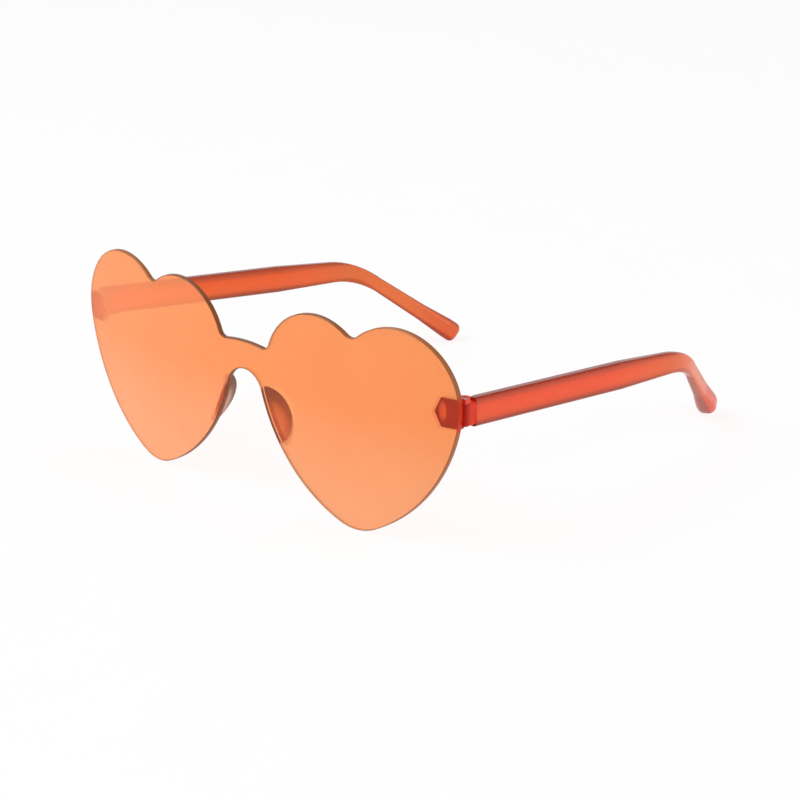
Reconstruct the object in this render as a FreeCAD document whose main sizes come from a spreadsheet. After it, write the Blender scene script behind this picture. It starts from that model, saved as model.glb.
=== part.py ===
import FreeCAD, Part
import math
import os
import Sketcher

# Heart shaped sunglasses: one curved double heart lens, bonded endpieces and nose pads, folding temples
# Millimetres and degrees. Lens front faces -Y, temples run to +Y, Z is up, the heart tips stand on Z = 0
# Left and right are the wearer's, so left is +X

SIZES = {
    # lens sheet and its two hearts
    "lens_curve": 361.0,
    "lens_thickness": 1.6,
    "lens_edge_bevel": 0.25,
    "blank_margin": 6.0,
    "tip_across": 40.2,
    "tip_radius": 14.8,
    "flank_radius": 48.1,
    "outer_lobe_across": 53.95,
    "outer_lobe_height": 39.9,
    "outer_lobe_radius": 19.65,
    "inner_lobe_across": 26.85,
    "inner_lobe_height": 40.1,
    "inner_lobe_radius": 18.25,
    "cleft_radius": 3.0,
    # bridge between the hearts and the notch for the nose
    "bridge_height": 45.5,
    "bridge_crown": 44.5,
    "bridge_corner": 2.2,
    "nose_arch_height": 37.3,
    "nose_arch_radius": 6.8,
    # endpiece: hexagon foot on the lens, block and two ears behind it
    "bond_line": 0.05,
    "hinge_height": 39.0,
    "endpiece_height": 6.2,
    "endpiece_overhang": 1.0,
    "foot_length": 9.4,
    "foot_point": 2.0,
    "foot_rise": 1.0,
    "foot_edge_inset": 1.0,
    "foot_thickness": 2.0,
    "foot_bevel": 0.75,
    "endpiece_round": 0.4,
    # hinge: screw axis, knuckles and running clearances
    "hinge_inset": 3.4,
    "hinge_setback": 4.4,
    "knuckle_radius": 2.1,
    "tongue_height": 2.6,
    "tongue_reach": 5.0,
    "tongue_gap": 0.12,
    "swing_gap": 0.25,
    "mitre_gap": 0.16,
    "screw_radius": 0.7,
    "running_clearance": 0.05,
    "thread_clearance": 0.02,
    "head_radius": 1.2,
    "head_height": 0.9,
    "head_clearance": 0.08,
    "head_sink": 0.15,
    "slot_width": 0.35,
    "slot_depth": 0.45,
    "screw_tail": 0.3,
    # temple: blade, bend behind the ear, thin neck and a tip that flares to a full round end
    "blade_height": 8.0,
    "blade_thickness": 3.2,
    "blade_length": 88.7,
    "blade_full_length": 66.0,
    "blade_toe_in_angle": 3.6,
    "blade_drop_angle": 6.6,
    "blade_round": 0.9,
    "bend_radius": 30.0,
    "bend_start_height": 6.6,
    "bend_start_thickness": 2.8,
    "neck_height": 4.4,
    "neck_thickness": 2.75,
    "neck_round": 0.9,
    "tip_toe_in_angle": 25.6,
    "tip_drop_angle": 36.79,
    "tip_length": 33.2,
    "waist_place": 18.3,
    "waist_height": 5.1,
    "waist_thickness": 3.9,
    "waist_round": 1.3,
    "paddle_height": 6.4,
    "paddle_thickness": 6.0,
    "paddle_round": 2.4,
    "paddle_flat": 2.6,
    "paddle_nose": 1.6,
    # nose pad: petal shaped band behind the notch edge
    "pad_inset": 0.2,
    "pad_thickness": 1.6,
    "pad_top_height": 34.0,
    "pad_bottom_height": 18.3,
    "pad_depth": 5.2,
    "pad_splay_angle": 15.0,
    "pad_bevel": 0.4,
}

doc = FreeCAD.newDocument("heart_sunglasses")
sheet = doc.addObject("Spreadsheet::Sheet", "sizes")
for row, alias in enumerate(SIZES, 1):
    sheet.set("A%d" % row, str(SIZES[alias]))
    sheet.setAlias("A%d" % row, alias)
doc.recompute()


def size(alias):
    return float(sheet.get(alias))


def cell(alias):
    return "sizes." + alias


def turn(degrees):
    return math.radians(degrees)


# Helpers for bodies and sketches

def new_body(name):
    body = doc.addObject("PartDesign::Body", name)
    body.Label = name
    return body


def origin_feature(body, role):
    return [item for item in body.Origin.OriginFeatures if item.Role == role][0]


def new_sketch(body, name, role):
    sketch = body.newObject("Sketcher::SketchObject", name)
    sketch.AttachmentSupport = [(origin_feature(body, role), "")]
    sketch.MapMode = "FlatFace"
    return sketch


def raise_sketch(sketch, value, expression):
    sketch.AttachmentOffset = FreeCAD.Placement(FreeCAD.Vector(0, 0, value), FreeCAD.Rotation())
    sketch.setExpression("AttachmentOffset.Base.z", expression)


def measure(sketch, kind, where, value, expression=None):
    number = sketch.addConstraint(Sketcher.Constraint(kind, *where, value))
    if expression is not None:
        sketch.setExpression("Constraints[%d]" % number, expression)


def pin(sketch, geometry, point, across, across_expression, up, up_expression):
    measure(sketch, "DistanceX", (-1, 1, geometry, point), across, across_expression)
    measure(sketch, "DistanceY", (-1, 1, geometry, point), up, up_expression)


def line(sketch, start, end):
    first = FreeCAD.Vector(start[0], start[1], 0)
    last = FreeCAD.Vector(end[0], end[1], 0)
    return sketch.addGeometry(Part.LineSegment(first, last))


def arc(sketch, centre, radius, start_angle, end_angle):
    circle = Part.Circle(FreeCAD.Vector(centre[0], centre[1], 0), FreeCAD.Vector(0, 0, 1), radius)
    return sketch.addGeometry(Part.ArcOfCircle(circle, start_angle, end_angle))


def ring(sketch, centre, radius):
    circle = Part.Circle(FreeCAD.Vector(centre[0], centre[1], 0), FreeCAD.Vector(0, 0, 1), radius)
    return sketch.addGeometry(circle)


def constrain(sketch, *parts):
    sketch.addConstraint(Sketcher.Constraint(*parts))


def smooth(sketch, joints):
    for joint in joints:
        constrain(sketch, "Tangent", *joint)


def meet(sketch, joints):
    for joint in joints:
        constrain(sketch, "Coincident", *joint)


def pad_up(body, name, sketch, value, expression):
    feature = body.newObject("PartDesign::Pad", name)
    feature.Profile = sketch
    feature.Length = value
    feature.setExpression("Length", expression)
    sketch.Visibility = False
    return feature


def cut_through(body, name, sketch, both_ways=False):
    feature = body.newObject("PartDesign::Pocket", name)
    feature.Profile = sketch
    feature.Type = "ThroughAll"
    feature.Midplane = both_ways
    return feature


def cut_depth(body, name, sketch, value, expression, both_ways=False):
    feature = body.newObject("PartDesign::Pocket", name)
    feature.Profile = sketch
    feature.Type = "Length"
    feature.Length = value
    feature.setExpression("Length", expression)
    feature.Midplane = both_ways
    return feature


def dress(body, kind, name, base, chosen, alias):
    feature = body.newObject("PartDesign::" + kind, name)
    names = []
    for number, edge in enumerate(base.Shape.Edges, 1):
        if chosen(edge):
            names.append("Edge%d" % number)
    feature.Base = (base, names)
    key = "Radius" if kind == "Fillet" else "Size"
    setattr(feature, key, size(alias))
    feature.setExpression(key, cell(alias))
    body.Tip = feature
    return feature


def mirror(name, source):
    other = doc.addObject("Part::Mirroring", name)
    other.Label = name
    other.Source = source
    other.Base = FreeCAD.Vector(0, 0, 0)
    other.Normal = FreeCAD.Vector(1, 0, 0)
    return other


def direction(start, end):
    return math.atan2(end[1] - start[1], end[0] - start[0])


def two_circles(first, first_radius, second, second_radius, side):
    # where two circles cross, on the left (side 1) or right (side -1) of the way from first to second
    across = second[0] - first[0]
    up = second[1] - first[1]
    gap = math.hypot(across, up)
    along = (first_radius ** 2 - second_radius ** 2 + gap ** 2) / (2 * gap)
    off = math.sqrt(first_radius ** 2 - along ** 2) * side
    return (first[0] + (across * along - up * off) / gap, first[1] + (up * along + across * off) / gap)


def touch_point(centre, radius, angle):
    return (centre[0] + radius * math.cos(angle), centre[1] + radius * math.sin(angle))


# Places that several pieces share, each as a number and as the sheet's own sum

HALF_WIDTH = "(sizes.outer_lobe_across + sizes.outer_lobe_radius)"
half_width = size("outer_lobe_across") + size("outer_lobe_radius")
LENS_TOP = ("max(sizes.outer_lobe_height + sizes.outer_lobe_radius; "
            "sizes.inner_lobe_height + sizes.inner_lobe_radius)")
lens_top = max(size("outer_lobe_height") + size("outer_lobe_radius"),
               size("inner_lobe_height") + size("inner_lobe_radius"))
lens_curve = size("lens_curve")
BACK_CURVE = "(sizes.lens_curve - sizes.lens_thickness)"
back_curve = lens_curve - size("lens_thickness")
SEAT_CURVE = "(sizes.lens_curve - sizes.lens_thickness - sizes.bond_line)"
seat_curve = back_curve - size("bond_line")
PIVOT_X = "(" + HALF_WIDTH + " - sizes.hinge_inset)"
pivot_x = half_width - size("hinge_inset")
PIVOT_Y = ("(sizes.lens_curve - sqrt(" + BACK_CURVE + "^2 - " + PIVOT_X + "^2) + sizes.hinge_setback)")
pivot_y = lens_curve - math.sqrt(back_curve ** 2 - pivot_x ** 2) + size("hinge_setback")
OUTER_X = "(" + HALF_WIDTH + " + sizes.endpiece_overhang)"
outer_x = half_width + size("endpiece_overhang")
INNER_X = "(" + OUTER_X + " - sizes.foot_length)"
inner_x = outer_x - size("foot_length")
hinge_height = size("hinge_height")
TOP_Z = "(sizes.hinge_height + sizes.endpiece_height / 2)"
top_z = hinge_height + size("endpiece_height") / 2
BOTTOM_Z = "(sizes.hinge_height - sizes.endpiece_height / 2)"
bottom_z = hinge_height - size("endpiece_height") / 2
knuckle = size("knuckle_radius")

# Heart outline: the centres of its arcs, in X and Z; each arc touches its neighbours
flank = size("flank_radius")
tip = size("tip_radius")
cleft = size("cleft_radius")
outer_radius = size("outer_lobe_radius")
inner_radius = size("inner_lobe_radius")
inner_lobe = (size("inner_lobe_across"), size("inner_lobe_height"))
outer_lobe = (size("outer_lobe_across"), size("outer_lobe_height"))
tip_centre = (size("tip_across"), tip)
cleft_centre = two_circles(inner_lobe, inner_radius + cleft, outer_lobe, outer_radius + cleft, 1)
outer_flank = two_circles(tip_centre, flank - tip, outer_lobe, flank - outer_radius, 1)
arch = size("nose_arch_radius")
arch_top = size("nose_arch_height")
arch_centre = (0.0, arch_top - arch)
inner_flank = two_circles(tip_centre, flank - tip, arch_centre, flank + arch, -1)


# Lens: a sheet bent about an upright axis, cut to the double heart outline, edges bevelled

lens = new_body("lens_shield")

section = new_sketch(lens, "lens_section", "XY_Plane")
raise_sketch(section, -size("blank_margin"), "-sizes.blank_margin")
blank_x = half_width + size("blank_margin")
front_y = lens_curve - math.sqrt(lens_curve ** 2 - blank_x ** 2)
back_y = lens_curve - math.sqrt(back_curve ** 2 - blank_x ** 2)
axis = (0.0, lens_curve)
front = arc(section, axis, lens_curve, -math.pi / 2, direction(axis, (blank_x, front_y)))
back = arc(section, axis, back_curve, -math.pi / 2, direction(axis, (blank_x, back_y)))
middle = line(section, (0, 0), (0, size("lens_thickness")))
end = line(section, (blank_x, front_y), (blank_x, back_y))
meet(section, [(front, 1, middle, 1), (back, 1, middle, 2), (front, 2, end, 1), (back, 2, end, 2)])
meet(section, [(front, 1, -1, 1), (front, 3, back, 3)])
constrain(section, "PointOnObject", front, 3, -2)
constrain(section, "Vertical", middle)
constrain(section, "Vertical", end)
measure(section, "Radius", (front,), lens_curve, cell("lens_curve"))
measure(section, "DistanceY", (middle, 1, middle, 2), size("lens_thickness"), cell("lens_thickness"))
measure(section, "DistanceX", (-1, 1, end, 1), blank_x, HALF_WIDTH + " + sizes.blank_margin")
blank = pad_up(lens, "lens_blank", section, lens_top + 2 * size("blank_margin"),
               LENS_TOP + " + 2 * sizes.blank_margin")

outline = new_sketch(lens, "heart_outline", "XZ_Plane")
raise_sketch(outline, size("blank_margin"), cell("blank_margin"))
low = -1.5 * size("blank_margin")
high = lens_top + 1.5 * size("blank_margin")
wide = half_width + 1.5 * size("blank_margin")
outer_lean = direction(outer_lobe, cleft_centre)
inner_lean = direction(inner_lobe, cleft_centre)
bridge_top = size("bridge_height")
crown = size("bridge_crown")
crown_centre = (0.0, bridge_top - crown)
corner = size("bridge_corner")
corner_centre = two_circles(crown_centre, crown + corner, inner_lobe, inner_radius + corner, 1)
side_low = line(outline, (0, low), (0, arch_top))
nose = arc(outline, arch_centre, arch, direction(arch_centre, inner_flank), math.pi / 2)
flank_in = arc(outline, inner_flank, flank, direction(inner_flank, arch_centre),
               direction(inner_flank, tip_centre))
foot = arc(outline, tip_centre, tip, direction(inner_flank, tip_centre), direction(outer_flank, tip_centre))
flank_out = arc(outline, outer_flank, flank, direction(outer_flank, tip_centre),
                direction(outer_flank, outer_lobe))
lobe_out = arc(outline, outer_lobe, outer_radius, direction(outer_flank, outer_lobe), outer_lean)
valley = arc(outline, cleft_centre, cleft, inner_lean - math.pi, outer_lean - math.pi)
lobe_in = arc(outline, inner_lobe, inner_radius, inner_lean, direction(inner_lobe, corner_centre))
inside = arc(outline, corner_centre, corner, direction(corner_centre, crown_centre),
             direction(corner_centre, inner_lobe))
bridge = arc(outline, crown_centre, crown, direction(crown_centre, corner_centre), math.pi / 2)
side_high = line(outline, (0, bridge_top), (0, high))
over = line(outline, (0, high), (wide, high))
outside = line(outline, (wide, high), (wide, low))
under = line(outline, (wide, low), (0, low))
smooth(outline, [(nose, 1, flank_in, 1), (flank_in, 2, foot, 1), (foot, 2, flank_out, 1),
                 (flank_out, 2, lobe_out, 1), (lobe_out, 2, valley, 2), (valley, 1, lobe_in, 1),
                 (lobe_in, 2, inside, 2), (inside, 1, bridge, 1)])
meet(outline, [(side_low, 2, nose, 2), (bridge, 2, side_high, 1), (side_high, 2, over, 1),
               (over, 2, outside, 1), (outside, 2, under, 1), (under, 2, side_low, 1)])
for upright in (side_low, side_high, outside):
    constrain(outline, "Vertical", upright)
for level in (over, under):
    constrain(outline, "Horizontal", level)
constrain(outline, "PointOnObject", side_low, 1, -2)
constrain(outline, "PointOnObject", bridge, 2, -2)
constrain(outline, "PointOnObject", nose, 3, -2)
constrain(outline, "PointOnObject", bridge, 3, -2)
measure(outline, "DistanceY", (-1, 1, nose, 2), arch_top, cell("nose_arch_height"))
measure(outline, "Radius", (nose,), arch, cell("nose_arch_radius"))
measure(outline, "DistanceY", (-1, 1, bridge, 2), bridge_top, cell("bridge_height"))
measure(outline, "Radius", (bridge,), crown, cell("bridge_crown"))
measure(outline, "Radius", (inside,), corner, cell("bridge_corner"))
pin(outline, lobe_in, 3, inner_lobe[0], cell("inner_lobe_across"), inner_lobe[1], cell("inner_lobe_height"))
pin(outline, lobe_out, 3, outer_lobe[0], cell("outer_lobe_across"), outer_lobe[1], cell("outer_lobe_height"))
measure(outline, "Radius", (lobe_in,), inner_radius, cell("inner_lobe_radius"))
measure(outline, "Radius", (lobe_out,), outer_radius, cell("outer_lobe_radius"))
measure(outline, "Radius", (valley,), cleft, cell("cleft_radius"))
pin(outline, foot, 3, tip_centre[0], cell("tip_across"), tip, cell("tip_radius"))
measure(outline, "Radius", (foot,), tip, cell("tip_radius"))
measure(outline, "Radius", (flank_in,), flank, cell("flank_radius"))
measure(outline, "Radius", (flank_out,), flank, cell("flank_radius"))
measure(outline, "DistanceY", (under, 2, -1, 1), -low, "1.5 * sizes.blank_margin")
measure(outline, "DistanceY", (-1, 1, over, 1), high, LENS_TOP + " + 1.5 * sizes.blank_margin")
measure(outline, "DistanceX", (-1, 1, outside, 1), wide, HALF_WIDTH + " + 1.5 * sizes.blank_margin")
trim = cut_through(lens, "lens_trim", outline)

both = lens.newObject("PartDesign::Mirrored", "lens_both_hearts")
both.Originals = [blank, trim]
both.MirrorPlane = (origin_feature(lens, "YZ_Plane"), [""])
lens.Tip = both
doc.recompute()


def outline_edge(edge):
    start = edge.Vertexes[0].Point
    finish = edge.Vertexes[-1].Point
    return abs(start.x - finish.x) + abs(start.z - finish.z) > 0.01


dress(lens, "Chamfer", "edge_bevel", both, outline_edge, "lens_edge_bevel")
doc.recompute()


# Endpiece: plan profile raised to its height, foot pointed like a hexagon, slot for the tongue

endpiece = new_body("left_endpiece")
REAR_CURVE = "(" + SEAT_CURVE + " - sizes.foot_thickness)"
rear_curve = seat_curve - size("foot_thickness")
MITRE_Y = "(" + PIVOT_Y + " - sizes.mitre_gap / 2)"
mitre_y = pivot_y - size("mitre_gap") / 2
pivot = (pivot_x, pivot_y)

plan = new_sketch(endpiece, "endpiece_plan", "XY_Plane")
raise_sketch(plan, bottom_z, BOTTOM_Z)


def on_curve(across, radius):
    return (across, lens_curve - math.sqrt(radius ** 2 - across ** 2))


seat_in = on_curve(inner_x, seat_curve)
seat_out = on_curve(outer_x, seat_curve)
rear_in = on_curve(inner_x, rear_curve)
rear_out = on_curve(pivot_x - knuckle, rear_curve)
ear_x = pivot_x + math.sqrt(knuckle ** 2 - (size("mitre_gap") / 2) ** 2)
seat = arc(plan, axis, seat_curve, direction(axis, seat_in), direction(axis, seat_out))
side = line(plan, seat_out, (outer_x, mitre_y))
mitre = line(plan, (outer_x, mitre_y), (ear_x, mitre_y))
barrel = arc(plan, pivot, knuckle, direction(pivot, (ear_x, mitre_y)), math.pi)
inner = line(plan, (pivot_x - knuckle, pivot_y), rear_out)
rear = arc(plan, axis, rear_curve, direction(axis, rear_in), direction(axis, rear_out))
point = line(plan, rear_in, seat_in)
meet(plan, [(seat, 2, side, 1), (side, 2, mitre, 1), (mitre, 2, barrel, 1), (inner, 2, rear, 2),
            (rear, 1, point, 1), (point, 2, seat, 1), (seat, 3, rear, 3)])
smooth(plan, [(barrel, 2, inner, 1)])
for upright in (side, inner, point):
    constrain(plan, "Vertical", upright)
constrain(plan, "Horizontal", mitre)
constrain(plan, "PointOnObject", seat, 3, -2)
measure(plan, "DistanceY", (-1, 1, seat, 3), lens_curve, cell("lens_curve"))
measure(plan, "Radius", (seat,), seat_curve, SEAT_CURVE)
measure(plan, "Radius", (rear,), rear_curve, REAR_CURVE)
measure(plan, "DistanceX", (-1, 1, side, 1), outer_x, OUTER_X)
measure(plan, "DistanceX", (-1, 1, point, 1), inner_x, INNER_X)
pin(plan, barrel, 3, pivot_x, PIVOT_X, pivot_y, PIVOT_Y)
measure(plan, "Radius", (barrel,), knuckle, cell("knuckle_radius"))
measure(plan, "DistanceY", (-1, 1, mitre, 1), mitre_y, MITRE_Y)
block = pad_up(endpiece, "endpiece_block", plan, size("endpiece_height"), cell("endpiece_height"))

FOOT_HEIGHT = "(sizes.endpiece_height + 2 * sizes.foot_rise)"
foot_height = size("endpiece_height") + 2 * size("foot_rise")
FOOT_OUTER_X = "(" + HALF_WIDTH + " - sizes.foot_edge_inset)"
foot_outer_x = half_width - size("foot_edge_inset")
plate = new_sketch(endpiece, "foot_plan", "XY_Plane")
raise_sketch(plate, hinge_height - foot_height / 2, "sizes.hinge_height - " + FOOT_HEIGHT + " / 2")
plate_seat = arc(plate, axis, seat_curve, direction(axis, seat_in),
                 direction(axis, on_curve(foot_outer_x, seat_curve)))
plate_rear = arc(plate, axis, rear_curve, direction(axis, rear_in),
                 direction(axis, on_curve(foot_outer_x, rear_curve)))
plate_point = line(plate, rear_in, seat_in)
plate_end = line(plate, on_curve(foot_outer_x, seat_curve), on_curve(foot_outer_x, rear_curve))
meet(plate, [(plate_seat, 2, plate_end, 1), (plate_end, 2, plate_rear, 2), (plate_rear, 1, plate_point, 1),
             (plate_point, 2, plate_seat, 1), (plate_seat, 3, plate_rear, 3)])
for upright in (plate_point, plate_end):
    constrain(plate, "Vertical", upright)
constrain(plate, "PointOnObject", plate_seat, 3, -2)
measure(plate, "DistanceY", (-1, 1, plate_seat, 3), lens_curve, cell("lens_curve"))
measure(plate, "Radius", (plate_seat,), seat_curve, SEAT_CURVE)
measure(plate, "Radius", (plate_rear,), rear_curve, REAR_CURVE)
measure(plate, "DistanceX", (-1, 1, plate_point, 1), inner_x, INNER_X)
measure(plate, "DistanceX", (-1, 1, plate_end, 1), foot_outer_x, FOOT_OUTER_X)
pad_up(endpiece, "foot_plate", plate, foot_height, FOOT_HEIGHT)

hexagon = new_sketch(endpiece, "foot_point_outline", "XZ_Plane")
half = foot_height / 2
slant = size("foot_point") / half
left_x = inner_x - size("foot_point")
clear = 2 * half
corners = [(inner_x, hinge_height), (inner_x + slant * clear, hinge_height + clear),
           (left_x, hinge_height + clear), (left_x, hinge_height - clear),
           (inner_x + slant * clear, hinge_height - clear)]
sides = []
for number, spot in enumerate(corners):
    sides.append(line(hexagon, spot, corners[(number + 1) % 5]))
for number in range(5):
    meet(hexagon, [(sides[number], 2, sides[(number + 1) % 5], 1)])
for level in (1, 3):
    constrain(hexagon, "Horizontal", sides[level])
constrain(hexagon, "Vertical", sides[2])
pin(hexagon, sides[0], 1, inner_x, INNER_X, hinge_height, cell("hinge_height"))
measure(hexagon, "DistanceX", (sides[0], 1, sides[0], 2), slant * clear, "2 * sizes.foot_point")
measure(hexagon, "DistanceX", (sides[4], 2, sides[4], 1), slant * clear, "2 * sizes.foot_point")
measure(hexagon, "DistanceY", (sides[0], 1, sides[0], 2), clear, FOOT_HEIGHT)
measure(hexagon, "DistanceY", (sides[4], 1, sides[4], 2), clear, FOOT_HEIGHT)
measure(hexagon, "DistanceX", (sides[2], 1, sides[0], 1), size("foot_point"), cell("foot_point"))
pointed = cut_through(endpiece, "foot_pointed", hexagon)
doc.recompute()


def on_rear(edge):
    for vertex in edge.Vertexes:
        spot = vertex.Point
        if abs(math.hypot(spot.x, spot.y - lens_curve) - rear_curve) > 0.001:
            return False
    slanted = edge.CenterOfMass.x < inner_x + size("foot_point")
    return slanted or abs(edge.CenterOfMass.z - hinge_height) > half - 0.001


bevel = dress(endpiece, "Chamfer", "foot_bevel", pointed, on_rear, "foot_bevel")
doc.recompute()


def outer_corner(edge):
    ends = [vertex.Point for vertex in edge.Vertexes]
    return len(ends) == 2 and all(abs(spot.x - outer_x) < 0.001 for spot in ends) and abs(
        ends[0].z - ends[1].z) < 0.001


moulded = dress(endpiece, "Fillet", "outer_round", bevel, outer_corner, "endpiece_round")

slot = new_sketch(endpiece, "tongue_slot", "XY_Plane")
raise_sketch(slot, hinge_height, cell("hinge_height"))
slot_ring = ring(slot, pivot, knuckle + size("swing_gap"))
pin(slot, slot_ring, 3, pivot_x, PIVOT_X, pivot_y, PIVOT_Y)
measure(slot, "Radius", (slot_ring,), knuckle + size("swing_gap"), "sizes.knuckle_radius + sizes.swing_gap")
cut_depth(endpiece, "tongue_slot_cut", slot, size("tongue_height") + 2 * size("tongue_gap"),
          "sizes.tongue_height + 2 * sizes.tongue_gap", True)

hole = new_sketch(endpiece, "screw_hole", "XY_Plane")
raise_sketch(hole, hinge_height, cell("hinge_height"))
hole_ring = ring(hole, pivot, size("screw_radius") + size("thread_clearance"))
pin(hole, hole_ring, 3, pivot_x, PIVOT_X, pivot_y, PIVOT_Y)
measure(hole, "Radius", (hole_ring,), size("screw_radius") + size("thread_clearance"),
        "sizes.screw_radius + sizes.thread_clearance")
cut_through(endpiece, "screw_hole_cut", hole, True)

recess = new_sketch(endpiece, "head_recess", "XY_Plane")
raise_sketch(recess, top_z, TOP_Z)
recess_ring = ring(recess, pivot, size("head_radius") + size("head_clearance"))
pin(recess, recess_ring, 3, pivot_x, PIVOT_X, pivot_y, PIVOT_Y)
measure(recess, "Radius", (recess_ring,), size("head_radius") + size("head_clearance"),
        "sizes.head_radius + sizes.head_clearance")
cut_depth(endpiece, "head_recess_cut", recess, size("head_height") + size("head_sink"),
          "sizes.head_height + sizes.head_sink")
doc.recompute()


# Hinge screw: turned about its own axis, slotted head sunk in the upper ear

screw = new_body("left_hinge_screw")
profile = new_sketch(screw, "screw_profile", "XZ_Plane")
HEAD_TOP = "(" + TOP_Z + " - sizes.head_sink)"
head_top = top_z - size("head_sink")
SHOULDER = "(" + HEAD_TOP + " - sizes.head_height)"
shoulder = head_top - size("head_height")
SCREW_END = "(" + BOTTOM_Z + " + sizes.screw_tail)"
screw_end = bottom_z + size("screw_tail")
shank = size("screw_radius")
head = size("head_radius")
steps = [(0, screw_end), (shank, screw_end), (shank, shoulder), (head, shoulder), (head, head_top),
         (0, head_top)]
runs = []
for number, spot in enumerate(steps):
    runs.append(line(profile, spot, steps[(number + 1) % 6]))
for number in range(6):
    meet(profile, [(runs[number], 2, runs[(number + 1) % 6], 1)])
for level in (0, 2, 4):
    constrain(profile, "Horizontal", runs[level])
for upright in (1, 3, 5):
    constrain(profile, "Vertical", runs[upright])
constrain(profile, "PointOnObject", runs[0], 1, -2)
measure(profile, "DistanceY", (-1, 1, runs[0], 1), screw_end, SCREW_END)
measure(profile, "DistanceX", (-1, 1, runs[1], 1), shank, cell("screw_radius"))
measure(profile, "DistanceY", (-1, 1, runs[2], 1), shoulder, SHOULDER)
measure(profile, "DistanceX", (-1, 1, runs[3], 1), head, cell("head_radius"))
measure(profile, "DistanceY", (-1, 1, runs[4], 1), head_top, HEAD_TOP)
turned = screw.newObject("PartDesign::Revolution", "screw_turned")
turned.Profile = profile
turned.ReferenceAxis = (profile, ["V_Axis"])
turned.Angle = 360.0

groove = new_sketch(screw, "driver_slot", "XY_Plane")
raise_sketch(groove, head_top, HEAD_TOP)
reach = head + size("head_clearance")
half_slot = size("slot_width") / 2
frame_points = [(-half_slot, -reach), (half_slot, -reach), (half_slot, reach), (-half_slot, reach)]
walls = []
for number, spot in enumerate(frame_points):
    walls.append(line(groove, spot, frame_points[(number + 1) % 4]))
for number in range(4):
    meet(groove, [(walls[number], 2, walls[(number + 1) % 4], 1)])
for level in (0, 2):
    constrain(groove, "Horizontal", walls[level])
for upright in (1, 3):
    constrain(groove, "Vertical", walls[upright])
measure(groove, "DistanceX", (-1, 1, walls[1], 1), half_slot, "sizes.slot_width / 2")
measure(groove, "DistanceX", (walls[3], 1, -1, 1), half_slot, "sizes.slot_width / 2")
measure(groove, "DistanceY", (-1, 1, walls[2], 1), reach, "sizes.head_radius + sizes.head_clearance")
measure(groove, "DistanceY", (walls[0], 1, -1, 1), reach, "sizes.head_radius + sizes.head_clearance")
cut_depth(screw, "driver_slot_cut", groove, size("slot_depth"), cell("slot_depth"))
doc.recompute()


# Temple: loft along a straight blade, a bend and a straight tip; relief and tongue at the hinge

temple = new_body("left_temple")


def heading(toe_in, drop):
    flat = math.cos(turn(drop))
    across = -math.sin(turn(toe_in)) * flat
    return FreeCAD.Vector(across, math.cos(turn(toe_in)) * flat, -math.sin(turn(drop)))


blade_way = heading(size("blade_toe_in_angle"), size("blade_drop_angle"))
tip_way = heading(size("tip_toe_in_angle"), size("tip_drop_angle"))
bend_angle = blade_way.getAngle(tip_way)
bend_radius = size("bend_radius")
bend_length = bend_radius * bend_angle
inward = (tip_way - blade_way * blade_way.dot(tip_way)).normalize()
blade_start = FreeCAD.Vector(outer_x - size("blade_thickness") / 2, pivot_y, hinge_height)


def spine(distance):
    # place and heading on the centre line, measured from the hinge along the temple
    if distance <= size("blade_length"):
        return blade_start + blade_way * distance, blade_way
    bend_start = blade_start + blade_way * size("blade_length")
    swept = min(distance - size("blade_length"), bend_length) / bend_radius
    place = bend_start + (blade_way * math.sin(swept) + inward * (1 - math.cos(swept))) * bend_radius
    way = blade_way * math.cos(swept) + inward * math.sin(swept)
    beyond = distance - size("blade_length") - bend_length
    if beyond > 0:
        place = place + way * beyond
    return place, way


def temple_section(name, distance, thick, thick_expression, tall, tall_expression, rounding,
                   round_expression):
    place, way = spine(distance)
    flat = FreeCAD.Vector(way.y, -way.x, 0).normalize()
    rise_way = flat.cross(way)
    back_way = way * -1
    matrix = FreeCAD.Matrix(flat.x, rise_way.x, back_way.x, place.x, flat.y, rise_way.y, back_way.y, place.y,
                            flat.z, rise_way.z, back_way.z, place.z, 0, 0, 0, 1)
    sketch = new_sketch(temple, name, "XY_Plane")
    sketch.AttachmentOffset = FreeCAD.Placement(matrix)
    x_half = thick / 2
    z_half = tall / 2
    x_flat = x_half - rounding
    z_flat = z_half - rounding
    bottom = line(sketch, (-x_flat, -z_half), (x_flat, -z_half))
    turn_one = arc(sketch, (x_flat, -z_flat), rounding, -math.pi / 2, 0)
    right = line(sketch, (x_half, -z_flat), (x_half, z_flat))
    turn_two = arc(sketch, (x_flat, z_flat), rounding, 0, math.pi / 2)
    top = line(sketch, (x_flat, z_half), (-x_flat, z_half))
    turn_three = arc(sketch, (-x_flat, z_flat), rounding, math.pi / 2, math.pi)
    left = line(sketch, (-x_half, z_flat), (-x_half, -z_flat))
    turn_four = arc(sketch, (-x_flat, -z_flat), rounding, math.pi, 1.5 * math.pi)
    loop = [bottom, turn_one, right, turn_two, top, turn_three, left, turn_four]
    smooth(sketch, [(loop[number], 2, loop[(number + 1) % 8], 1) for number in range(8)])
    for level in (bottom, top):
        constrain(sketch, "Horizontal", level)
    for upright in (right, left):
        constrain(sketch, "Vertical", upright)
    for other in (turn_two, turn_three, turn_four):
        constrain(sketch, "Equal", turn_one, other)
    measure(sketch, "Radius", (turn_one,), rounding, round_expression)
    measure(sketch, "DistanceX", (-1, 1, right, 1), x_half, thick_expression + " / 2")
    measure(sketch, "DistanceX", (left, 1, -1, 1), x_half, thick_expression + " / 2")
    measure(sketch, "DistanceY", (-1, 1, top, 1), z_half, tall_expression + " / 2")
    measure(sketch, "DistanceY", (bottom, 1, -1, 1), z_half, tall_expression + " / 2")
    return sketch


def named_section(name, distance, thick, tall, rounding):
    return temple_section(name, distance, size(thick), cell(thick), size(tall), cell(tall),
                          size(rounding), cell(rounding))


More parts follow.
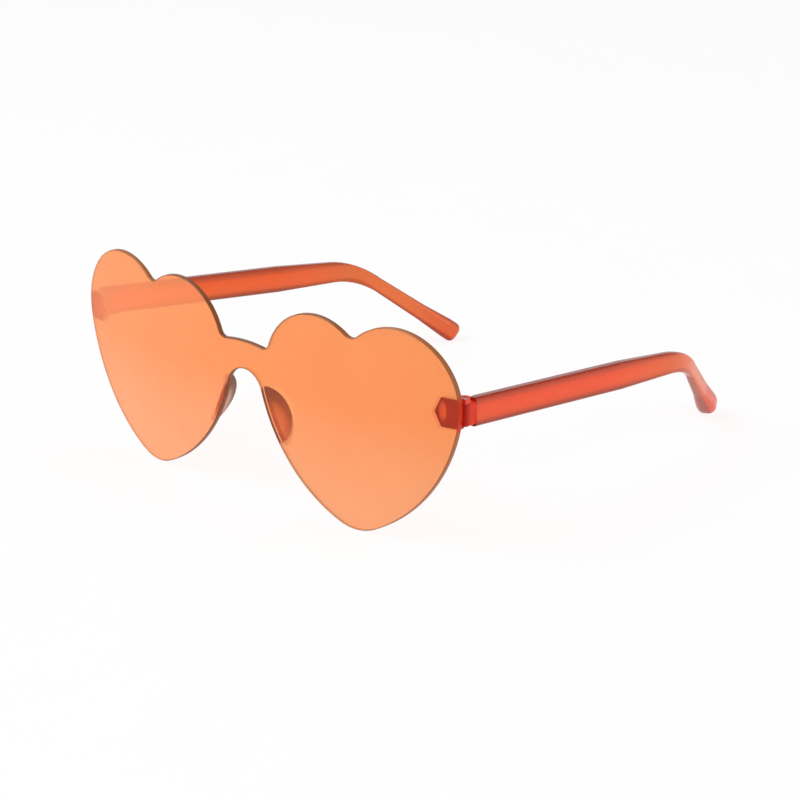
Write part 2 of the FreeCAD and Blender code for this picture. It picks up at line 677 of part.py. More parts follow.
def nose_section(name, degrees):
    # the rim of the tip's flat end is a quarter round
    share = 1 - math.cos(turn(degrees))
    inset = size("paddle_nose") * share
    INSET = "%.6f * sizes.paddle_nose" % share
    distance = temple_length - size("paddle_nose") * (1 - math.sin(turn(degrees)))
    return temple_section(name, distance, size("paddle_thickness") - 2 * inset,
                          "(sizes.paddle_thickness - 2 * " + INSET + ")", size("paddle_height") - 2 * inset,
                          "(sizes.paddle_height - 2 * " + INSET + ")", size("paddle_round") - inset,
                          "sizes.paddle_round - " + INSET)


BEND_STEPS = 10


def bend_section(name, share):
    # sizes run evenly from the start of the bend to the neck at its end
    blends = []
    for first, last in (("bend_start_thickness", "neck_thickness"), ("bend_start_height", "neck_height"),
                        ("blade_round", "neck_round")):
        blends.append(size(first) * (1 - share) + size(last) * share)
        blends.append("(sizes.%s * %.2f + sizes.%s * %.2f)" % (first, 1 - share, last, share))
    return temple_section(name, size("blade_length") + bend_length * share, *blends)


def add_loft(name, sections, straight):
    feature = temple.newObject("PartDesign::AdditiveLoft", name)
    feature.Profile = sections[0]
    feature.Sections = sections[1:]
    feature.Ruled = straight
    return feature


neck_place = size("blade_length") + bend_length
temple_length = neck_place + size("tip_length")
paddle_place = temple_length - size("paddle_nose") - size("paddle_flat")
blade_sections = [
    named_section("blade_front", -size("blade_thickness"), "blade_thickness", "blade_height", "blade_round"),
    named_section("blade_full_end", size("blade_full_length"), "blade_thickness", "blade_height",
                  "blade_round"),
    bend_section("blade_end", 0),
]
add_loft("temple_blade", blade_sections, True)
bend_sections = []
for step in range(BEND_STEPS + 1):
    bend_sections.append(bend_section("bend_%d" % step, step / BEND_STEPS))
add_loft("temple_bend", bend_sections, True)
tip_sections = [
    bend_section("neck", 1),
    named_section("waist", neck_place + size("waist_place"), "waist_thickness", "waist_height", "waist_round"),
    named_section("paddle_start", paddle_place, "paddle_thickness", "paddle_height", "paddle_round"),
    nose_section("paddle_full", 0),
]
add_loft("temple_tip", tip_sections, True)
nose_sections = [nose_section("nose_%d" % degrees, degrees) for degrees in (0, 22, 44, 66, 86)]
add_loft("paddle_end", nose_sections, True)

face = new_sketch(temple, "mitre_face", "XZ_Plane")
FRONT_Y = "(" + PIVOT_Y + " + sizes.mitre_gap / 2)"
front_face_y = pivot_y + size("mitre_gap") / 2
raise_sketch(face, -front_face_y, "-" + FRONT_Y)
wide_in = outer_x - 2 * size("blade_thickness")
wide_out = outer_x + size("blade_thickness")
tall_up = hinge_height + size("blade_height")
tall_down = hinge_height - size("blade_height")
square = [(wide_in, tall_down), (wide_out, tall_down), (wide_out, tall_up), (wide_in, tall_up)]
rails = []
for number, spot in enumerate(square):
    rails.append(line(face, spot, square[(number + 1) % 4]))
for number in range(4):
    meet(face, [(rails[number], 2, rails[(number + 1) % 4], 1)])
for level in (0, 2):
    constrain(face, "Horizontal", rails[level])
for upright in (1, 3):
    constrain(face, "Vertical", rails[upright])
pin(face, rails[0], 1, wide_in, OUTER_X + " - 2 * sizes.blade_thickness",
    tall_down, "sizes.hinge_height - sizes.blade_height")
pin(face, rails[2], 1, wide_out, OUTER_X + " + sizes.blade_thickness",
    tall_up, "sizes.hinge_height + sizes.blade_height")
mitre_cut = cut_through(temple, "mitre_cut", face)
mitre_cut.Reversed = True

relief = new_sketch(temple, "ear_relief", "XY_Plane")
raise_sketch(relief, hinge_height, cell("hinge_height"))
relief_ring = ring(relief, pivot, knuckle + size("swing_gap"))
pin(relief, relief_ring, 3, pivot_x, PIVOT_X, pivot_y, PIVOT_Y)
measure(relief, "Radius", (relief_ring,), knuckle + size("swing_gap"),
        "sizes.knuckle_radius + sizes.swing_gap")
cut_through(temple, "ear_relief_cut", relief, True)

tongue = new_sketch(temple, "tongue_plan", "XY_Plane")
raise_sketch(tongue, hinge_height, cell("hinge_height"))
root_x = blade_start.x
root = (root_x, pivot_y + size("tongue_reach"))
root_gap = math.hypot(root[0] - pivot_x, root[1] - pivot_y)
leave = direction(pivot, root) + math.acos(knuckle / root_gap)
leave_spot = (pivot_x + knuckle * math.cos(leave), pivot_y + knuckle * math.sin(leave))
tongue_front = (pivot_x + math.sqrt(knuckle ** 2 - (size("mitre_gap") / 2) ** 2), front_face_y)
eye = arc(tongue, pivot, knuckle, leave, direction(pivot, tongue_front) + 2 * math.pi)
lower = line(tongue, tongue_front, (root_x, front_face_y))
inner_root = line(tongue, (root_x, front_face_y), root)
upper = line(tongue, root, leave_spot)
meet(tongue, [(eye, 2, lower, 1), (lower, 2, inner_root, 1), (inner_root, 2, upper, 1)])
smooth(tongue, [(upper, 2, eye, 1)])
constrain(tongue, "Horizontal", lower)
constrain(tongue, "Vertical", inner_root)
pin(tongue, eye, 3, pivot_x, PIVOT_X, pivot_y, PIVOT_Y)
measure(tongue, "Radius", (eye,), knuckle, cell("knuckle_radius"))
pin(tongue, lower, 2, root_x, OUTER_X + " - sizes.blade_thickness / 2", front_face_y, FRONT_Y)
measure(tongue, "DistanceY", (-1, 1, inner_root, 2), root[1], PIVOT_Y + " + sizes.tongue_reach")
tongue_pad = pad_up(temple, "tongue", tongue, size("tongue_height"), cell("tongue_height"))
tongue_pad.Midplane = True

bore = new_sketch(temple, "tongue_bore", "XY_Plane")
raise_sketch(bore, hinge_height, cell("hinge_height"))
bore_ring = ring(bore, pivot, size("screw_radius") + size("running_clearance"))
pin(bore, bore_ring, 3, pivot_x, PIVOT_X, pivot_y, PIVOT_Y)
measure(bore, "Radius", (bore_ring,), size("screw_radius") + size("running_clearance"),
        "sizes.screw_radius + sizes.running_clearance")
cut_through(temple, "tongue_bore_cut", bore, True)
doc.recompute()


# Nose pad: a band along the notch, splayed to the rear, rounded to a petal and cut to the lens

pad = new_body("left_nose_pad")
pad_half = size("pad_thickness") / 2
PAD_PATH = "(sizes.flank_radius - sizes.pad_inset - sizes.pad_thickness / 2)"
pad_path = flank - size("pad_inset") - pad_half
pad_top = size("pad_top_height")
pad_bottom = size("pad_bottom_height")
splay = turn(size("pad_splay_angle"))


def pad_angle(height):
    return math.pi + math.asin((inner_flank[1] - height) / pad_path)


band = new_sketch(pad, "pad_band", "XZ_Plane")
from_angle = pad_angle(pad_top + size("pad_thickness"))
to_angle = pad_angle(pad_bottom - size("pad_thickness"))
band_outer = arc(band, inner_flank, pad_path + pad_half, from_angle, to_angle)
band_inner = arc(band, inner_flank, pad_path - pad_half, from_angle, to_angle)
band_ends = []
for angle in (from_angle, to_angle):
    near = touch_point(inner_flank, pad_path - pad_half, angle)
    far = touch_point(inner_flank, pad_path + pad_half, angle)
    band_ends.append(line(band, near, far))
meet(band, [(band_ends[0], 1, band_inner, 1), (band_ends[0], 2, band_outer, 1),
            (band_ends[1], 1, band_inner, 2), (band_ends[1], 2, band_outer, 2), (band_outer, 3, band_inner, 3)])
for edge in band_ends:
    constrain(band, "PointOnObject", band_inner, 3, edge)
measure(band, "Radius", (band_outer,), pad_path + pad_half, PAD_PATH + " + sizes.pad_thickness / 2")
measure(band, "Radius", (band_inner,), pad_path - pad_half, PAD_PATH + " - sizes.pad_thickness / 2")
measure(band, "DistanceX", (-1, 1, band_outer, 3), inner_flank[0])
measure(band, "DistanceY", (-1, 1, band_outer, 3), inner_flank[1])
for edge, angle in zip(band_ends, (from_angle, to_angle)):
    end_height = inner_flank[1] + (pad_path + pad_half) * math.sin(angle)
    measure(band, "DistanceY", (-1, 1, edge, 2), end_height)
fin = pad_up(pad, "pad_fin", band, size("lens_thickness") + 2 * size("pad_depth"),
             "sizes.lens_thickness + 2 * sizes.pad_depth")
fin.UseCustomVector = True
fin.Direction = FreeCAD.Vector(math.sin(splay), math.cos(splay), 0)
fin.AlongSketchNormal = True

petal = new_sketch(pad, "pad_petal", "YZ_Plane")
PETAL = ("(((sizes.pad_top_height - sizes.pad_bottom_height) / 2)^2 + sizes.pad_depth^2)"
         " / (2 * sizes.pad_depth)")
petal_half = (pad_top - pad_bottom) / 2
petal_radius = (petal_half ** 2 + size("pad_depth") ** 2) / (2 * size("pad_depth"))
root_y = size("lens_thickness")
petal_centre = (root_y + size("pad_depth") - petal_radius, pad_bottom + petal_half)
margin = size("blank_margin")
clear_y = root_y + 3 * size("pad_depth")
rim = arc(petal, petal_centre, petal_radius, direction(petal_centre, (root_y, pad_bottom)),
          direction(petal_centre, (root_y, pad_top)))
stops = [(root_y, pad_top), (root_y, pad_top + margin), (clear_y, pad_top + margin),
         (clear_y, pad_bottom - margin), (root_y, pad_bottom - margin), (root_y, pad_bottom)]
edges = []
for first, last in zip(stops, stops[1:]):
    edges.append(line(petal, first, last))
for first, last in zip(edges, edges[1:]):
    meet(petal, [(first, 2, last, 1)])
meet(petal, [(rim, 2, edges[0], 1), (edges[-1], 2, rim, 1)])
for upright in (edges[0], edges[2], edges[4]):
    constrain(petal, "Vertical", upright)
for level in (edges[1], edges[3]):
    constrain(petal, "Horizontal", level)
pin(petal, rim, 1, root_y, cell("lens_thickness"), pad_bottom, cell("pad_bottom_height"))
measure(petal, "DistanceY", (-1, 1, rim, 2), pad_top, cell("pad_top_height"))
measure(petal, "Radius", (rim,), petal_radius, PETAL)
pin(petal, edges[1], 2, clear_y, "sizes.lens_thickness + 3 * sizes.pad_depth",
    pad_top + margin, "sizes.pad_top_height + sizes.blank_margin")
measure(petal, "DistanceY", (-1, 1, edges[3], 2), pad_bottom - margin,
        "sizes.pad_bottom_height - sizes.blank_margin")
cut_through(pad, "pad_petal_cut", petal, True)

under_lens = new_sketch(pad, "pad_seat", "XY_Plane")
reach_x = size("tip_across")
seat_end = on_curve(reach_x, seat_curve)
lift = size("lens_thickness")
seat_arc = arc(under_lens, axis, seat_curve, -math.pi / 2, direction(axis, seat_end))
drop_side = line(under_lens, seat_end, (reach_x, -lift))
front_side = line(under_lens, (reach_x, -lift), (0, -lift))
axis_side = line(under_lens, (0, -lift), (0, lens_curve - seat_curve))
meet(under_lens, [(seat_arc, 2, drop_side, 1), (drop_side, 2, front_side, 1), (front_side, 2, axis_side, 1),
                  (axis_side, 2, seat_arc, 1)])
constrain(under_lens, "Vertical", drop_side)
constrain(under_lens, "Horizontal", front_side)
constrain(under_lens, "Vertical", axis_side)
constrain(under_lens, "PointOnObject", axis_side, 1, -2)
constrain(under_lens, "PointOnObject", seat_arc, 3, -2)
measure(under_lens, "DistanceY", (-1, 1, seat_arc, 3), lens_curve, cell("lens_curve"))
measure(under_lens, "Radius", (seat_arc,), seat_curve, SEAT_CURVE)
measure(under_lens, "DistanceX", (-1, 1, drop_side, 1), reach_x, cell("tip_across"))
measure(under_lens, "DistanceY", (front_side, 1, -1, 1), lift, cell("lens_thickness"))
seated = cut_through(pad, "pad_seat_cut", under_lens)
seated.Reversed = True
doc.recompute()


def rim_edge(edge):
    if edge.Length < 2 * size("pad_thickness"):
        return False
    for vertex in edge.Vertexes:
        reach = math.hypot(vertex.Point.y - petal_centre[0], vertex.Point.z - petal_centre[1])
        if abs(reach - petal_radius) > 0.001:
            return False
    return edge.CenterOfMass.y > root_y + size("pad_depth") / 3


dress(pad, "Chamfer", "pad_bevel", seated, rim_edge, "pad_bevel")
doc.recompute()


# Stand the whole pair centred over the origin, then mirror the paired pieces to the wearer's right

lens_box = lens.Shape.optimalBoundingBox(False, False)
temple_box = temple.Shape.optimalBoundingBox(False, False)
middle_y = (lens_box.YMin + temple_box.YMax) / 2
for body in (lens, endpiece, temple, pad):
    body.Placement = FreeCAD.Placement(FreeCAD.Vector(0, -middle_y, 0), FreeCAD.Rotation())
screw.Placement = FreeCAD.Placement(FreeCAD.Vector(pivot_x, pivot_y - middle_y, 0), FreeCAD.Rotation())
screw.setExpression("Placement.Base.x", PIVOT_X)

pieces = [lens, endpiece, screw, temple, pad]
for left_piece in (endpiece, screw, temple, pad):
    pieces.append(mirror(left_piece.Label.replace("left_", "right_"), left_piece))
doc.recompute()

for item in doc.Objects:
    if "Invalid" in item.State or "Error" in item.State:
        raise RuntimeError(item.Label + " did not build")
os.makedirs("parts", exist_ok=True)
for piece in pieces:
    shape = piece.Shape
    if shape.isNull() or not shape.isValid() or len(shape.Solids) != 1:
        raise RuntimeError(piece.Label + " is not one valid solid")
    shape.exportStep("parts/" + piece.Label + ".step")
    box = shape.optimalBoundingBox(False, False)
    print("%-18s volume %9.2f  X %.2f %.2f  Y %.2f %.2f  Z %.2f %.2f" % (
        piece.Label, shape.Volume, box.XMin, box.XMax, box.YMin, box.YMax, box.ZMin, box.ZMax))
print("hinge axis at %.3f %.3f" % (pivot_x, pivot_y - middle_y))
print("bend of %.2f degrees" % math.degrees(bend_angle))
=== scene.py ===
import math

import bpy
from mathutils import Matrix, Vector

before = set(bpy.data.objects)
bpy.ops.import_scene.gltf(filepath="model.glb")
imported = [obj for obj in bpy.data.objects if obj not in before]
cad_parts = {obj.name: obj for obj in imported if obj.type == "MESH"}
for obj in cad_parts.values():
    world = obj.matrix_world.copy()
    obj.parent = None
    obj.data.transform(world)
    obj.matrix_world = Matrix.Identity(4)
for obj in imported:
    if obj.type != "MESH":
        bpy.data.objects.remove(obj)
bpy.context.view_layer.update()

scene = bpy.context.scene
scene.view_settings.view_transform = "Standard"


# Camera at the photograph's viewing angle, with angles in degrees and its place in metres

CAMERA_AZIMUTH = 43.994
CAMERA_ELEVATION = 19.437
CAMERA_ROLL = -0.658
CAMERA_PLACE = Vector((0.523821, -0.552467, 0.278207))
FOCAL_PIXELS = 2726.93
IMAGE_PIXELS = 800
SENSOR_WIDTH = 36.0
CLIP_START = 0.01
CLIP_END = 60.0


def place_camera():
    azimuth = math.radians(CAMERA_AZIMUTH)
    elevation = math.radians(CAMERA_ELEVATION)
    roll = math.radians(CAMERA_ROLL)
    back = Vector((
        math.sin(azimuth) * math.cos(elevation),
        -math.cos(azimuth) * math.cos(elevation),
        math.sin(elevation),
    ))
    level = Vector((math.cos(azimuth), math.sin(azimuth), 0.0))
    upright = back.cross(level)
    right = level * math.cos(roll) + upright * math.sin(roll)
    up = upright * math.cos(roll) - level * math.sin(roll)
    data = bpy.data.cameras.new("camera")
    data.sensor_width = SENSOR_WIDTH
    data.lens = FOCAL_PIXELS * SENSOR_WIDTH / IMAGE_PIXELS
    data.clip_start = CLIP_START
    data.clip_end = CLIP_END
    camera = bpy.data.objects.new("camera", data)
    scene.collection.objects.link(camera)
    turn = Matrix((right, up, back)).transposed().to_4x4()
    camera.matrix_world = Matrix.Translation(CAMERA_PLACE) @ turn
    scene.camera = camera


# Node helpers

WHITE = (1.0, 1.0, 1.0)
RISING = (0.0, 1.0)
FALLING = (1.0, 0.0)


def new_material(name):
    material = bpy.data.materials.new(name)
    material.use_nodes = True
    material.node_tree.nodes.clear()
    return material, material.node_tree


# Gives a socket a number, a colour or a link
def feed(tree, socket, value):
    if isinstance(value, float):
        socket.default_value = value
    elif isinstance(value, tuple):
        socket.default_value = (*value, 1.0)
    else:
        tree.links.new(value, socket)


def math_node(tree, operation, *values):
    node = tree.nodes.new("ShaderNodeMath")
    node.operation = operation
    for socket, value in zip(node.inputs, values):
        feed(tree, socket, value)
    return node.outputs["Value"]


def noise(tree, coords, scale, detail, stretch=None):
    if stretch is not None:
        mapping = tree.nodes.new("ShaderNodeMapping")
        mapping.inputs["Scale"].default_value = stretch
        feed(tree, mapping.inputs["Vector"], coords)
        coords = mapping.outputs["Vector"]
    node = tree.nodes.new("ShaderNodeTexNoise")
    feed(tree, node.inputs["Scale"], scale)
    feed(tree, node.inputs["Detail"], detail)
    feed(tree, node.inputs["Vector"], coords)
    return node.outputs["Fac"]


# Maps a span of the value smoothly to a span of the result
def spread(tree, value, span, result):
    node = tree.nodes.new("ShaderNodeMapRange")
    node.interpolation_type = "SMOOTHSTEP"
    feed(tree, node.inputs["Value"], value)
    feed(tree, node.inputs["From Min"], span[0])
    feed(tree, node.inputs["From Max"], span[1])
    feed(tree, node.inputs["To Min"], result[0])
    feed(tree, node.inputs["To Max"], result[1])
    return node.outputs["Result"]


def ramp(tree, value, stops):
    node = tree.nodes.new("ShaderNodeValToRGB")
    elements = node.color_ramp.elements
    while len(elements) < len(stops):
        elements.new(0.5)
    for element, (place, colour) in zip(elements, stops):
        element.position = place
        element.color = (*colour, 1.0)
    feed(tree, node.inputs["Fac"], value)
    return node.outputs["Color"]


def blend_colours(tree, mode, share, first, second):
    node = tree.nodes.new("ShaderNodeMix")
    node.data_type = "RGBA"
    node.blend_type = mode
    feed(tree, node.inputs["Factor"], share)
    feed(tree, node.inputs["A"], first)
    feed(tree, node.inputs["B"], second)
    return node.outputs["Result"]


# Multiplies a colour by a tint where the share is one, and by white where it is zero
def tint_by(tree, colour, share, tint):
    tints = ramp(tree, share, ((0.0, WHITE), (1.0, tint)))
    return blend_colours(tree, "MULTIPLY", 1.0, colour, tints)


# One inside a soft oval and zero outside it, with limits in squared radii
def oval(tree, across, height, centre, radii, full_at, gone_at):
    aside = math_node(tree, "DIVIDE", math_node(tree, "SUBTRACT", across, centre[0]), radii[0])
    above = math_node(tree, "DIVIDE", math_node(tree, "SUBTRACT", height, centre[1]), radii[1])
    squared = math_node(tree, "MULTIPLY_ADD", above, above, math_node(tree, "MULTIPLY", aside, aside))
    return spread(tree, squared, (full_at, gone_at), FALLING)


# The place and the normal of a point, in the frame of the CAD model and in metres
def surface_places(tree):
    texture = tree.nodes.new("ShaderNodeTexCoord")
    axes = tree.nodes.new("ShaderNodeSeparateXYZ")
    feed(tree, axes.inputs["Vector"], texture.outputs["Object"])
    facing = tree.nodes.new("ShaderNodeSeparateXYZ")
    feed(tree, facing.inputs["Vector"], texture.outputs["Normal"])
    return texture.outputs["Object"], axes.outputs, facing.outputs


# Tinted see-through plastic

PLASTIC_IOR = 1.49
CLOUD_SCALE = 45.0
CLOUD_DETAIL = 3.0
CLOUD_TINT = ((0.3, (0.97, 0.93, 0.91)), (0.7, WHITE))
STREAK_SCALE = 60.0
STREAK_DETAIL = 4.0
STREAK_TINT = ((0.35, (0.98, 0.94, 0.92)), (0.65, WHITE))
SCUFF_SPAN = (0.35, 0.75)
RIPPLE_SCALE = 70.0
RIPPLE_DETAIL = 2.0
RIPPLE_STRENGTH = 0.12


# Cloudy colour, with streaks drawn out along the grain
def clouded(tree, colour, coords, grain, strength):
    cloud = noise(tree, coords, CLOUD_SCALE, CLOUD_DETAIL)
    streak = noise(tree, coords, STREAK_SCALE, STREAK_DETAIL, grain)
    colour = blend_colours(tree, "MULTIPLY", strength, colour, ramp(tree, cloud, CLOUD_TINT))
    return blend_colours(tree, "MULTIPLY", strength, colour, ramp(tree, streak, STREAK_TINT))


# Roughness of a handled surface
def scuffed(tree, coords, scale, detail, roughness):
    return spread(tree, noise(tree, coords, scale, detail), SCUFF_SPAN, roughness)


def tinted_plastic(tree, coords, colour, clarity, roughness,
                   ripple_height, gloss_tint, shadow_tint, depth_tint, depth_density):
    plastic = tree.nodes.new("ShaderNodeBsdfPrincipled")
    feed(tree, plastic.inputs["IOR"], PLASTIC_IOR)
    feed(tree, plastic.inputs["Specular Tint"], gloss_tint)
    feed(tree, plastic.inputs["Base Color"], colour)
    feed(tree, plastic.inputs["Transmission Weight"], clarity)
    feed(tree, plastic.inputs["Roughness"], roughness)
    bump = tree.nodes.new("ShaderNodeBump")
    feed(tree, bump.inputs["Strength"], RIPPLE_STRENGTH)
    feed(tree, bump.inputs["Distance"], ripple_height)
    feed(tree, bump.inputs["Height"], noise(tree, coords, RIPPLE_SCALE, RIPPLE_DETAIL))
    feed(tree, plastic.inputs["Normal"], bump.outputs["Normal"])
    clear = tree.nodes.new("ShaderNodeBsdfTransparent")
    feed(tree, clear.inputs["Color"], shadow_tint)
    light_path = tree.nodes.new("ShaderNodeLightPath")
    surface = tree.nodes.new("ShaderNodeMixShader")
    feed(tree, surface.inputs["Fac"], light_path.outputs["Is Shadow Ray"])
    feed(tree, surface.inputs[1], plastic.outputs["BSDF"])
    feed(tree, surface.inputs[2], clear.outputs["BSDF"])
    depth = tree.nodes.new("ShaderNodeVolumeAbsorption")
    feed(tree, depth.inputs["Color"], depth_tint)
    feed(tree, depth.inputs["Density"], depth_density)
    output = tree.nodes.new("ShaderNodeOutputMaterial")
    feed(tree, output.inputs["Surface"], surface.outputs["Shader"])
    feed(tree, output.inputs["Volume"], depth.outputs["Volume"])


# Hexagon foot of an endpiece, whose two slanted edges meet in a point

FOOT_SLANT = -0.488


# How far a place lies inside the outline of the foot
def foot_inset(tree, across, height, point, middle, half_height):
    from_middle = math_node(tree, "ABSOLUTE", math_node(tree, "SUBTRACT", height, middle))
    from_point = math_node(tree, "SUBTRACT", across, point)
    from_slant = math_node(tree, "MULTIPLY_ADD", from_middle, FOOT_SLANT, from_point)
    from_level_edge = math_node(tree, "SUBTRACT", half_height, from_middle)
    return math_node(tree, "MINIMUM", from_slant, from_level_edge)


# Lens, a hazy sheet that is clearer over the bonded feet and pads

# Paler towards the bottom: partly a tint that grades with height, partly painted light where the lower
# lens gets less light
LENS_HEIGHT = (0.0, 0.058)
LENS_TINT = (
    (0.0, (1.0, 0.475, 0.235)),
    (0.35, (1.0, 0.425, 0.185)),
    (0.65, (1.0, 0.375, 0.13)),
    (1.0, (1.0, 0.38, 0.135)),
)
LENS_GRAIN = (1.0, 1.0, 1.0)
LENS_CLOUDING = 0.4
LENS_CLARITY = 0.54
LENS_SMUDGES = {"scale": 130.0, "detail": 5.0, "roughness": (0.01, 0.05)}
LENS_BODY = {
    "ripple_height": 0.0002,
    "gloss_tint": (1.0, 0.6, 0.4),
    "shadow_tint": (0.93, 0.66, 0.54),
    "depth_tint": (0.99, 0.92, 0.80),
    "depth_density": 60.0,
}

# Painted shade: the lens's edge faces get a dark brown colour, darkest towards the middle and red over the
# hinge block; they are also less clear and rougher
RIM_FACING = (0.80, 0.92)
RIM_SPAN = (0.02, 0.05)
RIM_SHADE = ((0.0, (0.19, 0.06, 0.018)), (1.0, (0.34, 0.12, 0.04)))
RIM_OVER_HINGE = (0.62, 0.03, 0.006)
RIM_CLARITY = (1.0, 0.2)
RIM_ROUGHNESS = 0.3
HINGE_SPOT = {"centre": (0.0736, 0.0390), "radii": (0.008, 0.0052), "full_at": 0.5, "gone_at": 1.2}

LEFT_PAD_SPOT = {"centre": (0.0111, 0.0265), "radii": (0.0074, 0.0084), "full_at": 0.85, "gone_at": 1.05}
RIGHT_PAD_SPOT = {"centre": (-0.0203, 0.0193), "radii": (0.0022, 0.0082), "full_at": 0.5, "gone_at": 1.1}
RIGHT_PAD_SINE = 0.485
RIGHT_PAD_COSINE = 0.875
PAD_CLEARING = 0.40
FOOT_SPOT = {"point": 0.0651, "middle": 0.0392, "half_height": 0.0044}
FOOT_SPOT_EDGE = (-0.0001, 0.0003)
FOOT_SPOT_SIDES = (-0.05, 0.05)
FOOT_CLEARING = (0.12, 0.45)
BOND_SPAN = (0.0, 0.4)
BOND_TINT = (1.0, 0.93, 0.92)


# How much clearer the lens is over each pad, as the photograph's view shows the pads through it
def pad_clearing(tree, axes):
    left_pad = oval(tree, axes["X"], axes["Z"], **LEFT_PAD_SPOT)
    rise = math_node(tree, "MULTIPLY", axes["Z"], RIGHT_PAD_COSINE)
    along = math_node(tree, "MULTIPLY_ADD", axes["X"], RIGHT_PAD_SINE, rise)
    lean = math_node(tree, "MULTIPLY", axes["Z"], -RIGHT_PAD_SINE)
    aside = math_node(tree, "MULTIPLY_ADD", axes["X"], RIGHT_PAD_COSINE, lean)
    right_pad = oval(tree, aside, along, **RIGHT_PAD_SPOT)
    return math_node(tree, "MULTIPLY", math_node(tree, "MAXIMUM", left_pad, right_pad), PAD_CLEARING)


# How much clearer the lens is over each foot, more so on the left
def foot_clearing(tree, axes, across):
    inset = foot_inset(tree, across, axes["Z"], **FOOT_SPOT)
    over_foot = spread(tree, inset, FOOT_SPOT_EDGE, RISING)
    return math_node(tree, "MULTIPLY", over_foot, spread(tree, axes["X"], FOOT_SPOT_SIDES, FOOT_CLEARING))


def lens_plastic():
    material, tree = new_material("lens_plastic")
    coords, axes, facing = surface_places(tree)
    across = math_node(tree, "ABSOLUTE", axes["X"])
    tint = ramp(tree, spread(tree, axes["Z"], LENS_HEIGHT, RISING), LENS_TINT)
    tint = clouded(tree, tint, coords, LENS_GRAIN, LENS_CLOUDING)
    # Painted dark shade on the lens's edge faces, turned red where the hinge block lies behind
    rim = spread(tree, math_node(tree, "ABSOLUTE", facing["Y"]), RIM_FACING, FALLING)
    rim_shade = ramp(tree, spread(tree, across, RIM_SPAN, RISING), RIM_SHADE)
    at_hinge = oval(tree, across, axes["Z"], **HINGE_SPOT)
    rim_shade = blend_colours(tree, "MIX", at_hinge, rim_shade, RIM_OVER_HINGE)
    colour = blend_colours(tree, "MIX", rim, tint, rim_shade)
    bonded = math_node(tree, "MAXIMUM", pad_clearing(tree, axes), foot_clearing(tree, axes, across))
    colour = tint_by(tree, colour, spread(tree, bonded, BOND_SPAN, RISING), BOND_TINT)
    clarity = math_node(tree, "ADD", LENS_CLARITY, bonded)
    clarity = math_node(tree, "MULTIPLY", clarity, spread(tree, rim, RISING, RIM_CLARITY))
    smudges = scuffed(tree, coords, **LENS_SMUDGES)
    roughness = math_node(tree, "MULTIPLY_ADD", rim, RIM_ROUGHNESS, smudges)
    tinted_plastic(tree, coords, colour, clarity, roughness, **LENS_BODY)
    return material


# Temple, with a blade that drops along one line and a tip along a steeper one

BLADE_SLOPE = -0.1157
BLADE_START = 0.0322
TIP_SLOPE = -0.84
TIP_START = 0.0604
BEND_BLEND = 0.004
BEND_SPAN = (0.008, 0.036)
HALF_HEIGHT = (0.0040, 0.0031)
PADDLE_SPAN = (0.046, 0.066)
PADDLE_SWELL = (0.0, 0.0008)
ACROSS_ARM = (-1.0, 1.0)
# Orange arm with painted shade that darkens it towards its lower and top edges, in the blade and in the
# tip
BLADE_TINT_AND_SHADE = (
    (0.0, (0.36, 0.085, 0.04)),
    (0.05, (0.58, 0.125, 0.045)),
    (0.13, (0.95, 0.19, 0.05)),
    (0.5, (1.0, 0.19, 0.042)),
    (0.80, (0.93, 0.165, 0.035)),
    (0.92, (0.66, 0.12, 0.035)),
    (1.0, (0.45, 0.10, 0.04)),
)
TIP_TINT_AND_SHADE = (
    (0.0, (0.62, 0.13, 0.035)),
    (0.04, (0.72, 0.16, 0.045)),
    (0.10, (0.92, 0.22, 0.065)),
    (0.90, (0.90, 0.22, 0.065)),
    (0.96, (0.66, 0.16, 0.05)),
    (1.0, (0.50, 0.12, 0.04)),
)
# Painted light: the outer side of the arm is tinted deeper red and the inner side is left paler, to make
# up for the shade the inner side gets
OUTER_FACING = (-0.9, -0.3)
OUTER_SIDE_SHADE = (1.0, 0.62, 0.6)
PALER_SPAN = (-0.012, 0.030)
PALER_END_SPAN = (0.048, 0.064)
PALER_SHARE = (0.55, 0.05)
END_SPAN = (0.050, 0.066)
END_TINT = (0.95, 0.74, 0.85)
# Painted shade on the faces of the arm that do not face sideways, its top and bottom
EDGE_FACING = (0.35, 0.8)
ARM_EDGE_SHADE = (0.68, 0.56, 0.44)
TEMPLE_GRAIN = (1.0, 0.08, 1.0)
TEMPLE_CLOUDING = 1.0
TEMPLE_CLEAR_SPAN = (0.020, 0.045)
TEMPLE_CLARITY = (0.62, 0.1)
TEMPLE_SCUFFS = {"scale": 160.0, "detail": 4.0, "roughness": (0.06, 0.16)}
DULL_SPAN = (0.030, 0.050)
DULL_ROUGHNESS = (0.0, 0.12)
TEMPLE_BODY = {
    "ripple_height": 0.0002,
    "gloss_tint": (1.0, 0.65, 0.5),
    "shadow_tint": (0.88, 0.45, 0.36),
    "depth_tint": (0.97, 0.70, 0.45),
    "depth_density": 260.0,
}


# Zero at the lower edge of the arm and one at its top edge
def arm_level(tree, axes):
    blade_line = math_node(tree, "MULTIPLY_ADD", axes["Y"], BLADE_SLOPE, BLADE_START)
    tip_line = math_node(tree, "MULTIPLY_ADD", axes["Y"], TIP_SLOPE, TIP_START)
    middle = math_node(tree, "SMOOTH_MIN", blade_line, tip_line, BEND_BLEND)
    taper = spread(tree, axes["Y"], BEND_SPAN, HALF_HEIGHT)
    swell = spread(tree, axes["Y"], PADDLE_SPAN, PADDLE_SWELL)
    half_height = math_node(tree, "ADD", taper, swell)
    from_middle = math_node(tree, "SUBTRACT", axes["Z"], middle)
    return spread(tree, math_node(tree, "DIVIDE", from_middle, half_height), ACROSS_ARM, RISING)


